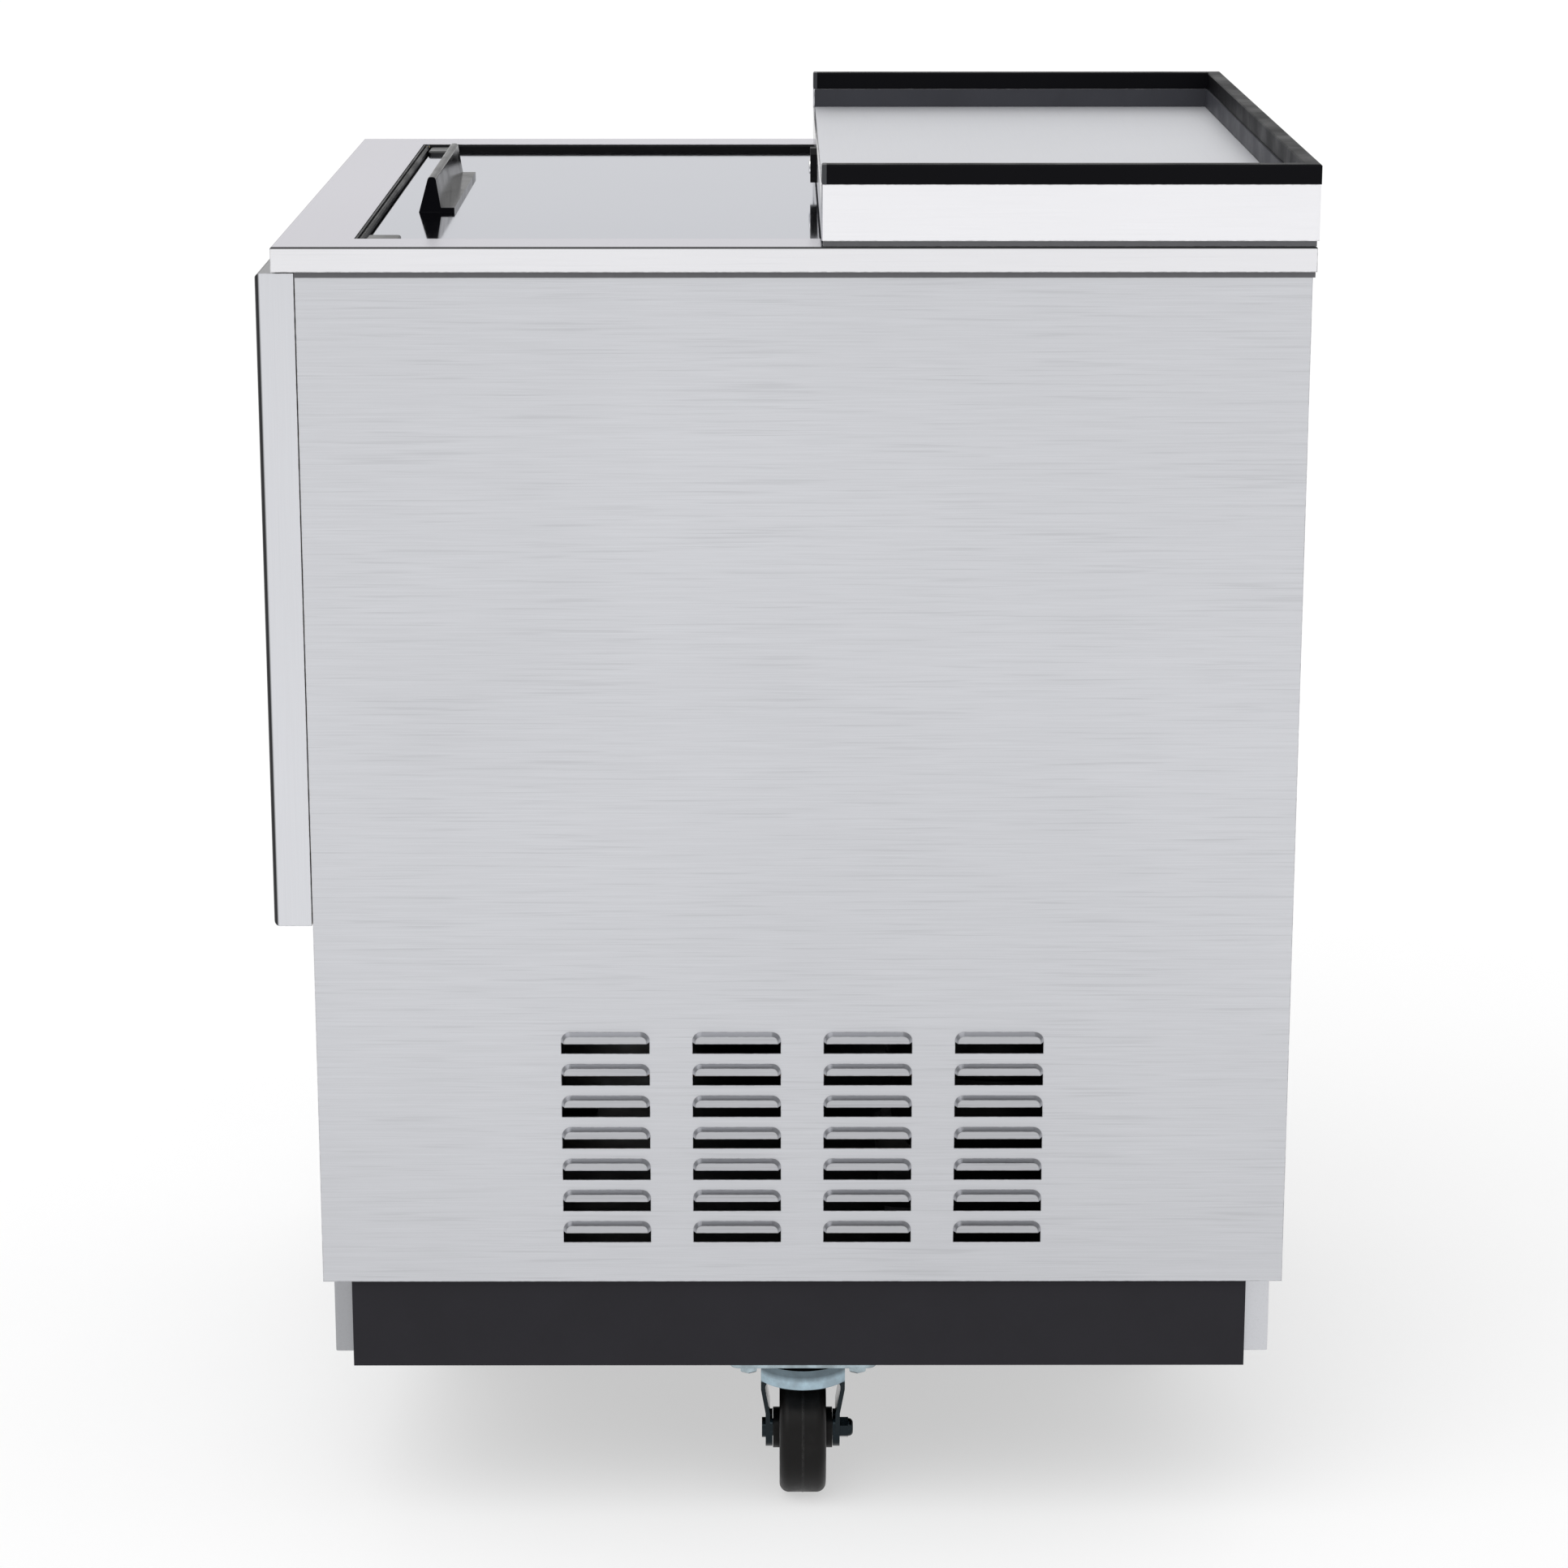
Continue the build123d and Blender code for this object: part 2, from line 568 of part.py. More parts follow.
def lid_strike():
    tab = block(-14, 14, STRIKE_Y, STRIKE_Y + 2, LID_TOP, 881)
    foot = block(-14, 14, STRIKE_Y + 2, LID_REAR - 1.5, LID_TOP, LID_TOP + 1.5)
    return tab + foot


# ---- rear housing, tray and rails ----
def rear_housing():
    x, y0, y1 = HOUSE_X, HOUSE_FRONT, HOUSE_REAR
    shell = rounded_block(-x, x, y0, y1, HOUSE_BOTTOM, HOUSE_TOP, 2.5)
    hollow = block(-x + SHEET, x - SHEET, y0 + SHEET, y1 - SHEET, HOUSE_BOTTOM - 1, HOUSE_TOP - SHEET)
    well_x = x - RAIL_W + FIT
    well_rear = y1 - RAIL_W + FIT
    well = block(-well_x, well_x, y0 - 1, well_rear, TRAY_Z, HOUSE_TOP + 1)
    floor_gap = block(-well_x, well_x, y0 + SHEET, well_rear, HOUSE_BOTTOM - 1, HOUSE_TOP + 1)
    barrel = rod((0, y0 - 1, LOCK_Z), (0, y0 + 3, LOCK_Z), LOCK_R + FIT)
    return shell - hollow - well - floor_gap - barrel


def housing_gasket():
    x = HOUSE_X - 0.6
    z0, z1 = DECK_TOP + FIT, HOUSE_BOTTOM - FIT
    outer = block(-x, x, HOUSE_FRONT + 1, DECK_REAR - 0.6, z0, z1)
    return outer - block(-x + 8, x - 8, HOUSE_FRONT, DECK_REAR - 9, z0 - 1, z1 + 1)


def tray():
    x = HOUSE_X - RAIL_W - SKIRTING_T - FIT
    y0, y1 = HOUSE_FRONT + SHEET + FIT, HOUSE_REAR - RAIL_W - SKIRTING_T - FIT
    return block(-x, x, y0, y1, TRAY_Z - SHEET, TRAY_Z)


def tray_skirting():
    x = HOUSE_X - RAIL_W
    y1 = HOUSE_REAR - RAIL_W
    y0 = HOUSE_FRONT + SHEET + FIT
    t = SKIRTING_T
    outer = block(-x, x, y0, y1, TRAY_Z - SHEET, HOUSE_TOP - FIT)
    return outer - block(-x + t, x - t, y0 - 1, y1 - t, HOUSE_BOTTOM, HOUSE_TOP + 1)


def tray_rail(side):
    """Box rail along one side, mitred into the rear rail."""
    x0, x1 = HOUSE_X - RAIL_W, HOUSE_X
    bar = block(x0, x1, HOUSE_FRONT + RAIL_CAP, HOUSE_REAR, HOUSE_TOP, HEIGHT)
    mitre = Pos(x1, HOUSE_REAR, HOUSE_TOP) * Rot(0, 0, 45) * block(-40, 40, 0, 40, -1, 20)
    bar = bar - mitre
    bar = chamfer(bar.edges().filter_by(Axis.Y).group_by(Axis.Z)[-1], 0.8)
    return bar if side > 0 else mirror(bar, about=Plane.YZ)


def tray_rail_rear():
    x = HOUSE_X
    bar = block(-x, x, HOUSE_REAR - RAIL_W, HOUSE_REAR, HOUSE_TOP, HEIGHT)
    mitre = Pos(x, HOUSE_REAR, HOUSE_TOP) * Rot(0, 0, 45) * block(-40, 40, -40, 0, -1, 20)
    bar = bar - both_sides(mitre)
    return chamfer(bar.edges().filter_by(Axis.X).group_by(Axis.Z)[-1], 0.8)


def rail_end_plug():
    plug = block(HOUSE_X - RAIL_W, HOUSE_X, HOUSE_FRONT, HOUSE_FRONT + RAIL_CAP, HOUSE_TOP, HEIGHT)
    return fillet(plug.edges().group_by(Axis.Y)[0], 1.2)


# ---- lock ----
def lock_escutcheon():
    y0, y1 = HOUSE_FRONT - 4.6, HOUSE_FRONT
    outline = [(-8, LOCK_Z + 9), (-5, LOCK_Z + 13), (5, LOCK_Z + 13), (8, LOCK_Z + 9),
               (8, LOCK_Z - 7), (5, LOCK_Z - 11), (-5, LOCK_Z - 11), (-8, LOCK_Z - 7)]
    plate = profile_y(outline, y0, y1)
    return plate - rod((0, y0 - 1, LOCK_Z), (0, y1 + 1, LOCK_Z), PLUG_R + RUN)


def lock_barrel():
    y0 = HOUSE_FRONT
    body = ring((0, y0, LOCK_Z), (0, y0 + 8.6, LOCK_Z), LOCK_R, PLUG_R + RUN)
    nut = extrude(Plane((0, y0 + SHEET + 0.1, LOCK_Z), z_dir=(0, 1, 0)) * RegularPolygon(9.5, 6), 2.4)
    return body + (nut - rod((0, y0, LOCK_Z), (0, y0 + 5, LOCK_Z), LOCK_R - 0.5))


def lock_cylinder():
    y0 = HOUSE_FRONT - 5.6
    plug = rod((0, y0, LOCK_Z), (0, STRIKE_Y + 7.5, LOCK_Z), PLUG_R)
    plug = fillet(plug.edges().group_by(Axis.Y)[0], 0.8)
    keyway = block(-0.7, 0.7, y0 - 1, y0 + 4, LOCK_Z - 3.4, LOCK_Z + 3.4)
    return plug - keyway


def lock_cam():
    """The cam points sideways when the lock is open, and down behind the strike when it is shut."""
    y0 = STRIKE_Y + 4.5
    arm = block(0, CAM_REACH, y0, y0 + 3, LOCK_Z - 6, LOCK_Z + 6)
    tip = rod((CAM_REACH, y0, LOCK_Z), (CAM_REACH, y0 + 3, LOCK_Z), 6)
    root = rod((0, y0, LOCK_Z), (0, y0 + 3, LOCK_Z), 7.5)
    return arm + tip + root - rod((0, y0 - 1, LOCK_Z), (0, y0 + 4, LOCK_Z), PLUG_R)


# ---- base ----
def skirt():
    face = block(SKIRT_X - SHEET, SKIRT_X, SKIRT_FRONT, SKIRT_REAR, CASTER_H, BODY_Z - FIT)
    return fillet(face.edges().filter_by(Axis.Z), 0.5)


def kick_strip(y_face, y_back):
    """A channel across the front or rear of the base, closed at its ends and open at its back."""
    y0, y1 = min(y_face, y_back), max(y_face, y_back)
    outer = block(-KICK_X, KICK_X, y0, y1, KICK_BOTTOM, BODY_Z - FIT)
    face_edges = outer.edges().filter_by(Axis.Z).group_by(Axis.Y)[0 if y_face < y_back else -1]
    outer = fillet(face_edges, 2.0)
    h0 = y0 + SHEET if y_face < y_back else y0 - 1
    h1 = y1 + 1 if y_face < y_back else y1 - SHEET
    return outer - block(-KICK_X + SHEET, KICK_X - SHEET, h0, h1, KICK_BOTTOM + SHEET, BODY_Z - FIT - SHEET)


def frame_tube(x0, x1, y0, y1):
    outer = block(x0, x1, y0, y1, CASTER_H, BODY_Z - FIT)
    w = TUBE_WALL
    along_y = (y1 - y0) > (x1 - x0)
    gx = w if along_y else -1
    gy = -1 if along_y else w
    return outer - block(x0 + gx, x1 - gx, y0 + gy, y1 - gy, CASTER_H + w, BODY_Z - FIT - w)


def base_frame():
    inner = FRAME_X - TUBE_W
    side = frame_tube(inner, FRAME_X, SKIRT_FRONT + 0.3, SKIRT_REAR - 0.4)
    front = frame_tube(-inner + FIT, inner - FIT, SKIRT_FRONT + 0.3, SKIRT_FRONT + 0.3 + TUBE_W)
    rear = frame_tube(-inner + FIT, inner - FIT, SKIRT_REAR - 0.4 - TUBE_W, SKIRT_REAR - 0.4)
    holes = [hole for place in CASTERS.values() for hole in bolt_holes(place)]
    return [tube - holes for tube in both_sides(side) + [front, rear]]


# ---- casters, modelled with the swivel axis on Z and the wheel trailing towards +X ----
def caster_at(place, shape):
    x, y, turn = place
    return Pos(x, y, 0) * Rot(0, 0, turn) * shape


def bolt_points():
    return [(x, y) for x in (-BOLT_W / 2, BOLT_W / 2) for y in (-BOLT_L / 2, BOLT_L / 2)]


def bolt_holes(place):
    return [caster_at(place, rod((x, y, 100), (x, y, CASTER_H + 5), BOLT_R + FIT)) for x, y in bolt_points()]


def caster_plate():
    """Top plate, upper bearing cup and kingpin."""
    z0 = CASTER_H - PLATE_T
    plate = rounded_block(-PLATE_W / 2, PLATE_W / 2, -PLATE_L / 2, PLATE_L / 2, z0, CASTER_H, 7)
    plate = fillet(plate.edges().group_by(Axis.Z)[0], 1.5)
    cup = extrude(Pos(0, 0, z0) * Circle(CUP_R), -3.0, taper=30)
    cup = cup + extrude(Pos(0, 0, z0 - 3.0) * Circle(CUP_R - 1.6), -3.2)
    pin = rod((0, 0, 91.6), (0, 0, z0), KINGPIN_R)
    head = extrude(Pos(0, 0, 90.4) * RegularPolygon(8.0, 6), 3.9)
    holes = [rod((x, y, z0 - 1), (x, y, CASTER_H + 1), BOLT_R + FIT) for x, y in bolt_points()]
    return plate + cup + pin + head - holes


def caster_bolt(x, y):
    z0 = CASTER_H - PLATE_T
    head = extrude(Pos(x, y, z0) * RegularPolygon(6.4, 6), -5.4)
    head = chamfer(head.edges().group_by(Axis.Z)[0], 0.9)
    return head + rod((x, y, z0), (x, y, CASTER_H + 4), BOLT_R)


def caster_fork():
    """A round crown with a recess for the bearing cup, and two legs that lean back to the axle."""
    top, recess, arch = 108.6, 98.6, 94.8
    shoulder, ankle, foot = 86.0, 64.0, 30.0
    w = FORK_WALL
    crown = extrude(Pos(0, 0, arch) * (Circle(CROWN_R) & Rectangle(2 * CROWN_R, 2 * FORK_HALF)), top - arch)
    crown = crown - rod((0, 0, recess), (0, 0, top + 1), CUP_R + 1.5)
    crown = crown + rod((0, 0, recess - 1), (0, 0, recess + 4), CUP_R - 1.6)
    outer = [(-FORK_HALF, arch + 1), (FORK_HALF, arch + 1), (FORK_HALF, shoulder), (FORK_FOOT, ankle),
             (FORK_FOOT, foot), (-FORK_FOOT, foot), (-FORK_FOOT, ankle), (-FORK_HALF, shoulder)]
    inner = [(-FORK_HALF + w, arch), (FORK_HALF - w, arch), (FORK_HALF - w, shoulder),
             (FORK_FOOT - w, ankle), (FORK_FOOT - w, foot - 1), (-FORK_FOOT + w, foot - 1),
             (-FORK_FOOT + w, ankle), (-FORK_HALF + w, shoulder)]
    mouth = profile_x(inner, -70, 70)
    mouth = fillet(mouth.edges().filter_by(Axis.X).group_by(Axis.Z)[-1], 7)
    side = [(-16, arch + 1), (16, arch + 1), (TRAIL + 13, WHEEL_R), (TRAIL - 13, WHEEL_R)]
    foot_disc = rod((TRAIL, -40, WHEEL_R), (TRAIL, 40, WHEEL_R), 13)
    legs = (profile_x(outer, -60, 60) - mouth) & (profile_y(side, -40, 40) + foot_disc)
    boss_gap = HUB_HALF + 0.3
    bosses = [rod((TRAIL, sign * boss_gap, WHEEL_R), (TRAIL, sign * (FORK_FOOT - w), WHEEL_R), 13)
              for sign in (-1, 1)]
    fork = crown + legs + bosses
    fork = fork - rod((0, 0, 80), (0, 0, 110), KINGPIN_R + RUN)
    return fork - rod((TRAIL, -40, WHEEL_R), (TRAIL, 40, WHEEL_R), AXLE_R)


def caster_axle():
    """Axle bolt with its head, nut and the sleeve that the wheel turns on."""
    z = WHEEL_R
    inner = HUB_HALF + 0.3
    bolt = rod((TRAIL, -FORK_FOOT - 7, z), (TRAIL, FORK_FOOT + 2.6, z), AXLE_R)
    head = rod((TRAIL, FORK_FOOT, z), (TRAIL, FORK_FOOT + 2.6, z), 7.0)
    nut = extrude(Plane((TRAIL, -FORK_FOOT, z), z_dir=(0, -1, 0)) * RegularPolygon(7.5, 6), 6.0)
    dome = rod((TRAIL, -FORK_FOOT - 6, z), (TRAIL, -FORK_FOOT - 9.4, z), 6.2)
    dome = fillet(dome.edges().group_by(Axis.Y)[0], 3.0)
    sleeve = rod((TRAIL, -inner, z), (TRAIL, inner, z), SLEEVE_R)
    return bolt + head + nut + dome + sleeve


def caster_wheel():
    """Solid wheel with a raised mould line around its tread, a recess in each face, and a hub."""
    half, raised = WHEEL_W / 2, 0.15
    tread = rod((TRAIL, -half, WHEEL_R), (TRAIL, half, WHEEL_R), WHEEL_R - raised)
    tread = fillet(tread.edges().filter_by(GeomType.CIRCLE), 6.5)
    for side in (-1, 1):
        face = side * half
        tread = tread - ring((TRAIL, face - side * 5, WHEEL_R), (TRAIL, face + side, WHEEL_R), 33, 15)
    hub = rod((TRAIL, -HUB_HALF, WHEEL_R), (TRAIL, HUB_HALF, WHEEL_R), 14)
    mould_line = ring((TRAIL, -0.5, WHEEL_R), (TRAIL, 0.5, WHEEL_R), WHEEL_R, WHEEL_R - 2)
    bore = rod((TRAIL, -30, WHEEL_R), (TRAIL, 30, WHEEL_R), SLEEVE_R + RUN)
    return tread + hub + mould_line - bore


# ---- machine compartment ----
def compressor_feet():
    return [(COMPRESSOR_X + dx, COMPRESSOR_Y + dy) for dx in (-80, 80) for dy in (-70, 70)]


def compressor():
    """Welded steel can on a foot plate, with its terminal cover and stub pipes."""
    x, y = COMPRESSOR_X, COMPRESSOR_Y
    base, height, radius, wall = 204.0, 158.0, 76.0, 5.0

    def can(r, z0, z1, bend):
        shape = rod((x, y, z0), (x, y, z1), r)
        return fillet(shape.edges().filter_by(GeomType.CIRCLE), bend)

    shell = can(radius, base, base + height, 40) - can(radius - wall, base + wall, base + height - wall, 35)
    band = ring((x, y, base + 70), (x, y, base + 80), radius + 3, radius - 2)
    plate = rounded_block(x - 95, x + 95, y - 85, y + 85, base - 6, base - 2, 14)
    pedestal = ring((x, y, base - 3), (x, y, base + 12), 52, 46)
    holes = [rod((fx, fy, 190), (fx, fy, 210), 6) for fx, fy in compressor_feet()]
    cover = block(x - radius - 26, x - radius + 2, y - 24, y + 24, base + 34, base + 96)
    cover = fillet(cover.edges().filter_by(Axis.X), 5)
    cover = cover - rod((x, y, base), (x, y, base + height), radius - 2)
    return shell + band + (plate + pedestal - holes) + cover


def compressor_grommets():
    feet = []
    for x, y in compressor_feet():
        bush = rod((x, y, FLOOR_Z + FIT), (x, y, 198), 11)
        neck = rod((x, y, 198), (x, y, 202), 5.8)
        flange = rod((x, y, 202), (x, y, 206), 10)
        feet.append(bush + neck + flange)
    return feet


def condenser_coil():
    return fin_coil(-190, 90, -296, -252, 196, 388, 7.0, 8)


def condenser_shroud():
    y0 = -251.0
    box = block(-198, 98, y0, y0 + 24, FLOOR_Z + FIT, 390)
    hollow = block(-196.5, 96.5, y0 - 1, y0 + 22.5, FLOOR_Z + 14, 388.5)
    hole = rod((FAN_X, y0, FAN_Z), (FAN_X, y0 + 40, FAN_Z), FAN_R + 4)
    rim = ring((FAN_X, y0 + 22.5, FAN_Z), (FAN_X, y0 + 34, FAN_Z), FAN_R + 6, FAN_R + 4)
    return box - hollow - hole + rim


def condenser_fan_motor():
    y = -250.0
    can = rod((FAN_X, y + 58, FAN_Z), (FAN_X, y + 112, FAN_Z), 41)
    can = fillet(can.edges().group_by(Axis.Y)[-1], 8)
    shaft = rod((FAN_X, y + 18, FAN_Z), (FAN_X, y + 59, FAN_Z), 4.0)
    post = block(FAN_X - 20, FAN_X + 20, y + 80, y + 83, FLOOR_Z + 3 + FIT, FAN_Z - 30)
    foot = block(FAN_X - 35, FAN_X + 35, y + 70, y + 110, FLOOR_Z + FIT, FLOOR_Z + 3 + FIT)
    return can + shaft + post + foot


def tube_run(points, radius, bend):
    """A bent copper tube through the points."""
    line = FilletPolyline(*points, radius=bend)
    return sweep(Plane(line @ 0, z_dir=line % 0) * Circle(radius), path=line)


def refrigerant_lines():
    discharge = tube_run([(206.5, 120, 300), (235, 120, 300), (235, -274, 300), (103.5, -274, 300)], 3.0, 14)
    suction = tube_run([(SUCTION_X, SUCTION_Y, 470), (SUCTION_X, SUCTION_Y, 380), (60, SUCTION_Y, 380),
                        (60, 180, 380), (COMPRESSOR_X, 180, 380), (COMPRESSOR_X, 180, 362.2)], 4.5, 8)
    liquid = tube_run([(-203.5, -274, 220), (-240, -274, 220), (-240, -160, 220), (-240, -160, 262)], 3.0, 12)
    capillary = tube_run([(-240, -160, 362), (-240, -160, 385), (-240, 234, 385), (-66, 234, 385),
                          (-66, 234, 470)], 1.2, 8)
    return [discharge, suction, liquid, capillary]


def filter_drier():
    x, y = -240, -160
    can = rod((x, y, 270), (x, y, 354), 9.5)
    can = chamfer(can.edges().filter_by(GeomType.CIRCLE), 4)
    lower = ring((x, y, 262.4), (x, y, 271), 4.4, 3.0)
    upper = ring((x, y, 353), (x, y, 361.6), 4.0, 1.3)
    return can + lower + upper


def electrical_box():
    box = block(-298, -232, -80, 60, FLOOR_Z + FIT, 300)
    box = fillet(box.edges().filter_by(Axis.X), 5)
    lid = block(-230.8, -228.8, -76, 56, FLOOR_Z + 5, 296)
    return [box, block(-232, -230.8, -70, 50, FLOOR_Z + 12, 290) + lid]


def temperature_controller():
    body = block(-35.2, 35.2, APRON_FACE - 0.4, -284, 502.3, 530.7)
    bezel = block(-38.5, 38.5, FRONT, APRON_FACE, 499, 534)
    bezel = fillet(bezel.edges().filter_by(Axis.Y), 3)
    window = block(-22, 22, FRONT - 1, FRONT + 0.4, 507, 526)
    return body + bezel - window


def cable_gland():
    """Gland in the rear grille for the supply cable."""
    x, z = GLAND_X, GLAND_Z
    body = rod((x, 316, z), (x, BODY_REAR, z), GLAND_R)
    flange = rod((x, BODY_REAR, z), (x, BODY_REAR + 2.6, z), 12.5)
    nut = extrude(Plane((x, BODY_REAR - SHEET - 0.1, z), z_dir=(0, -1, 0)) * RegularPolygon(13, 6), 5)
    return body + flange + nut - rod((x, 310, z), (x, REAR + 1, z), GLAND_BORE)


# ---- write every node ----
os.makedirs("parts", exist_ok=True)

right_panel = side_panel()
write("side_panel_right", right_panel)
write("side_panel_left", mirror(right_panel, about=Plane.YZ))
write("front_apron", front_apron())
write("front_grille", front_grille())
write("rear_panel", rear_panel())
write("rear_grille", rear_grille())
write("panel_screws", *panel_screws())
write("bottom_pan", bottom_pan())
write("compartment_ceiling", compartment_ceiling())
write("foam_insulation", *foam_boards())
write("inner_tub", inner_tub())
write("rear_bulkhead", rear_bulkhead())
write("floor_rack", floor_rack())
write("bin_dividers", bin_divider(-83), bin_divider(83))
write("drain_pipe", drain_pipe(), drain_pan())

write("evaporator_cover", evaporator_cover())
write("evaporator_coil", fin_coil(-200, 200, 212, 256, 500, 780, 8.0, 8))
write("evaporator_fan_motor", evaporator_fan_motor())
write("evaporator_fan_blade", fan((0, COVER_Y + SHEET + 14, EVAP_FAN_Z), EVAP_FAN_R, 13, 12, 5, 3.0 + RUN))

write("deck_top", deck_top())
write("deck_gaskets", deck_seal(), housing_gasket())
write("lid_tracks", *both_sides(lid_track()))
write("track_front_trim", track_front_trim())

write("lid_outer_skin", lid_outer_skin())
write("lid_core", lid_core())
write("lid_inner_skin", lid_inner_skin())
write("lid_runners", *both_sides(lid_runner()))
write("lid_handle", lid_handle())
write("lid_corner_caps", *both_sides(lid_corner_cap()))
write("lid_strike", lid_strike())

write("rear_housing", rear_housing())
write("tray", tray())
write("tray_skirting", tray_skirting())
write("tray_rails", tray_rail(1), tray_rail(-1), tray_rail_rear())
write("rail_end_plugs", *both_sides(rail_end_plug()))
write("lock_barrel", lock_barrel(), lock_escutcheon())
write("lock_cylinder", lock_cylinder(), lock_cam())

write("skirts", *both_sides(skirt()))
write("kick_strips", kick_strip(KICK_FRONT, SKIRT_FRONT), kick_strip(KICK_REAR, SKIRT_REAR))
write("base_frame", *base_frame())

write("caster_plates", *[caster_at(place, caster_plate()) for place in CASTERS.values()])
write("caster_bolts", *[caster_at(place, caster_bolt(x, y))
                        for place in CASTERS.values() for x, y in bolt_points()])
for name, place in CASTERS.items():
    write("fork_" + name, caster_at(place, caster_fork()), caster_at(place, caster_axle()))
    write("wheel_" + name, caster_at(place, caster_wheel()))

write("compressor", compressor())
write("compressor_grommets", *compressor_grommets())
write("condenser_coil", condenser_coil())
write("condenser_shroud", condenser_shroud())
write("condenser_fan_motor", condenser_fan_motor())
write("condenser_fan_blade", fan((FAN_X, -218, FAN_Z), FAN_R, 20, 18, 6, 4.0 + RUN))
write("refrigerant_lines", *refrigerant_lines(), filter_drier())
write("electrical_box", *electrical_box())
write("temperature_controller", temperature_controller(), temperature_probe())
write("cable_gland", cable_gland())
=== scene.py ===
"""Looks of the slide-top chest freezer: a material for every piece, floor, light and camera.

Metres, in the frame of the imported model: +X is the user's right, -Y the front, +Z up.
"""
import json

import bpy
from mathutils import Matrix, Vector


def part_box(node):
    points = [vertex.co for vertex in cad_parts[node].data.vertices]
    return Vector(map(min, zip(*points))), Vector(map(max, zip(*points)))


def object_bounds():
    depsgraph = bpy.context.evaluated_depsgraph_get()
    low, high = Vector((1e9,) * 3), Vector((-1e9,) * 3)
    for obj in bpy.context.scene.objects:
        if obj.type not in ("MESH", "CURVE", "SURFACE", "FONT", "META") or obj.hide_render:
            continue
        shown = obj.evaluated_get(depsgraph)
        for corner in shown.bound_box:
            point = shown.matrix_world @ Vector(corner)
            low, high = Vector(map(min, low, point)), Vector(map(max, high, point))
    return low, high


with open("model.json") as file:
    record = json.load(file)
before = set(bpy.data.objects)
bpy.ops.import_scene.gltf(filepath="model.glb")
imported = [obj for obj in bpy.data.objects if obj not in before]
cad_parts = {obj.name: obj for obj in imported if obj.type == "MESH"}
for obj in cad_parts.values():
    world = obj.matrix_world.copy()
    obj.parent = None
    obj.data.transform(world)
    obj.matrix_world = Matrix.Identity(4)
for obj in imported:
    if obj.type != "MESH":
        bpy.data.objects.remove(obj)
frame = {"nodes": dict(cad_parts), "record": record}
cad_low, cad_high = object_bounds()
nodes = frame["nodes"]

MM = 0.001

# How far a louvre stands out, and the faces that louvres stand out of: the side panels (X) and the
# front grille (Y).
LOUVRE_DEPTH = 4.0 * MM
PANEL_LOW, PANEL_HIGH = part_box("side_panel_right")
SHEET_FACES = (PANEL_HIGH[0] - LOUVRE_DEPTH, PANEL_LOW[1])

# Cycles a metre of the brushed grain: across and along the fine grain, and of the darker hairs.
GRAIN_ACROSS, GRAIN_ALONG = 1100.0, 16.0
HAIRS_ACROSS, HAIRS_ALONG = 560.0, 9.0
CLOUDS = 3.0

# Heights between which sheet metal goes from its lower tone, painted shade towards the bottom, to its
# own, and the distance either side of the cabinet's middle over which the kick strips go from the front
# one's darker tone, painted shade, to the rear one's.
LOW_TONE, FULL_TONE = 0.20, 0.55
MIDDLE = 0.01

# Heights of the painted highlight band across the forks' crown; above and below it the plate is painted
# dark as shade.
FORK_HIGHLIGHT_BAND = (0.0955, 0.1000)

# The floor's tones, own light and half width.
FLOOR_TONES = (0.44, 0.46)
FLOOR_GLOW = 0.52
FLOOR_HALF = 60.0

# The surround's strength, and the soft light's strength, width in radians and direction.
SURROUND = 0.87
SUN_STRENGTH = 0.95
SUN_WIDTH = 0.9
SUN_DIRECTION = (-0.50, 0.38, -0.90)

# The camera: lens in mm, shift, place beyond the side's face, and the point of that face it aims at.
LENS = 94.9
SHIFT = -0.053
CAMERA_AWAY, CAMERA_Y, CAMERA_Z = 2.6, -0.0063, 1.23
AIM_Y, AIM_Z = -0.0010, 0.580


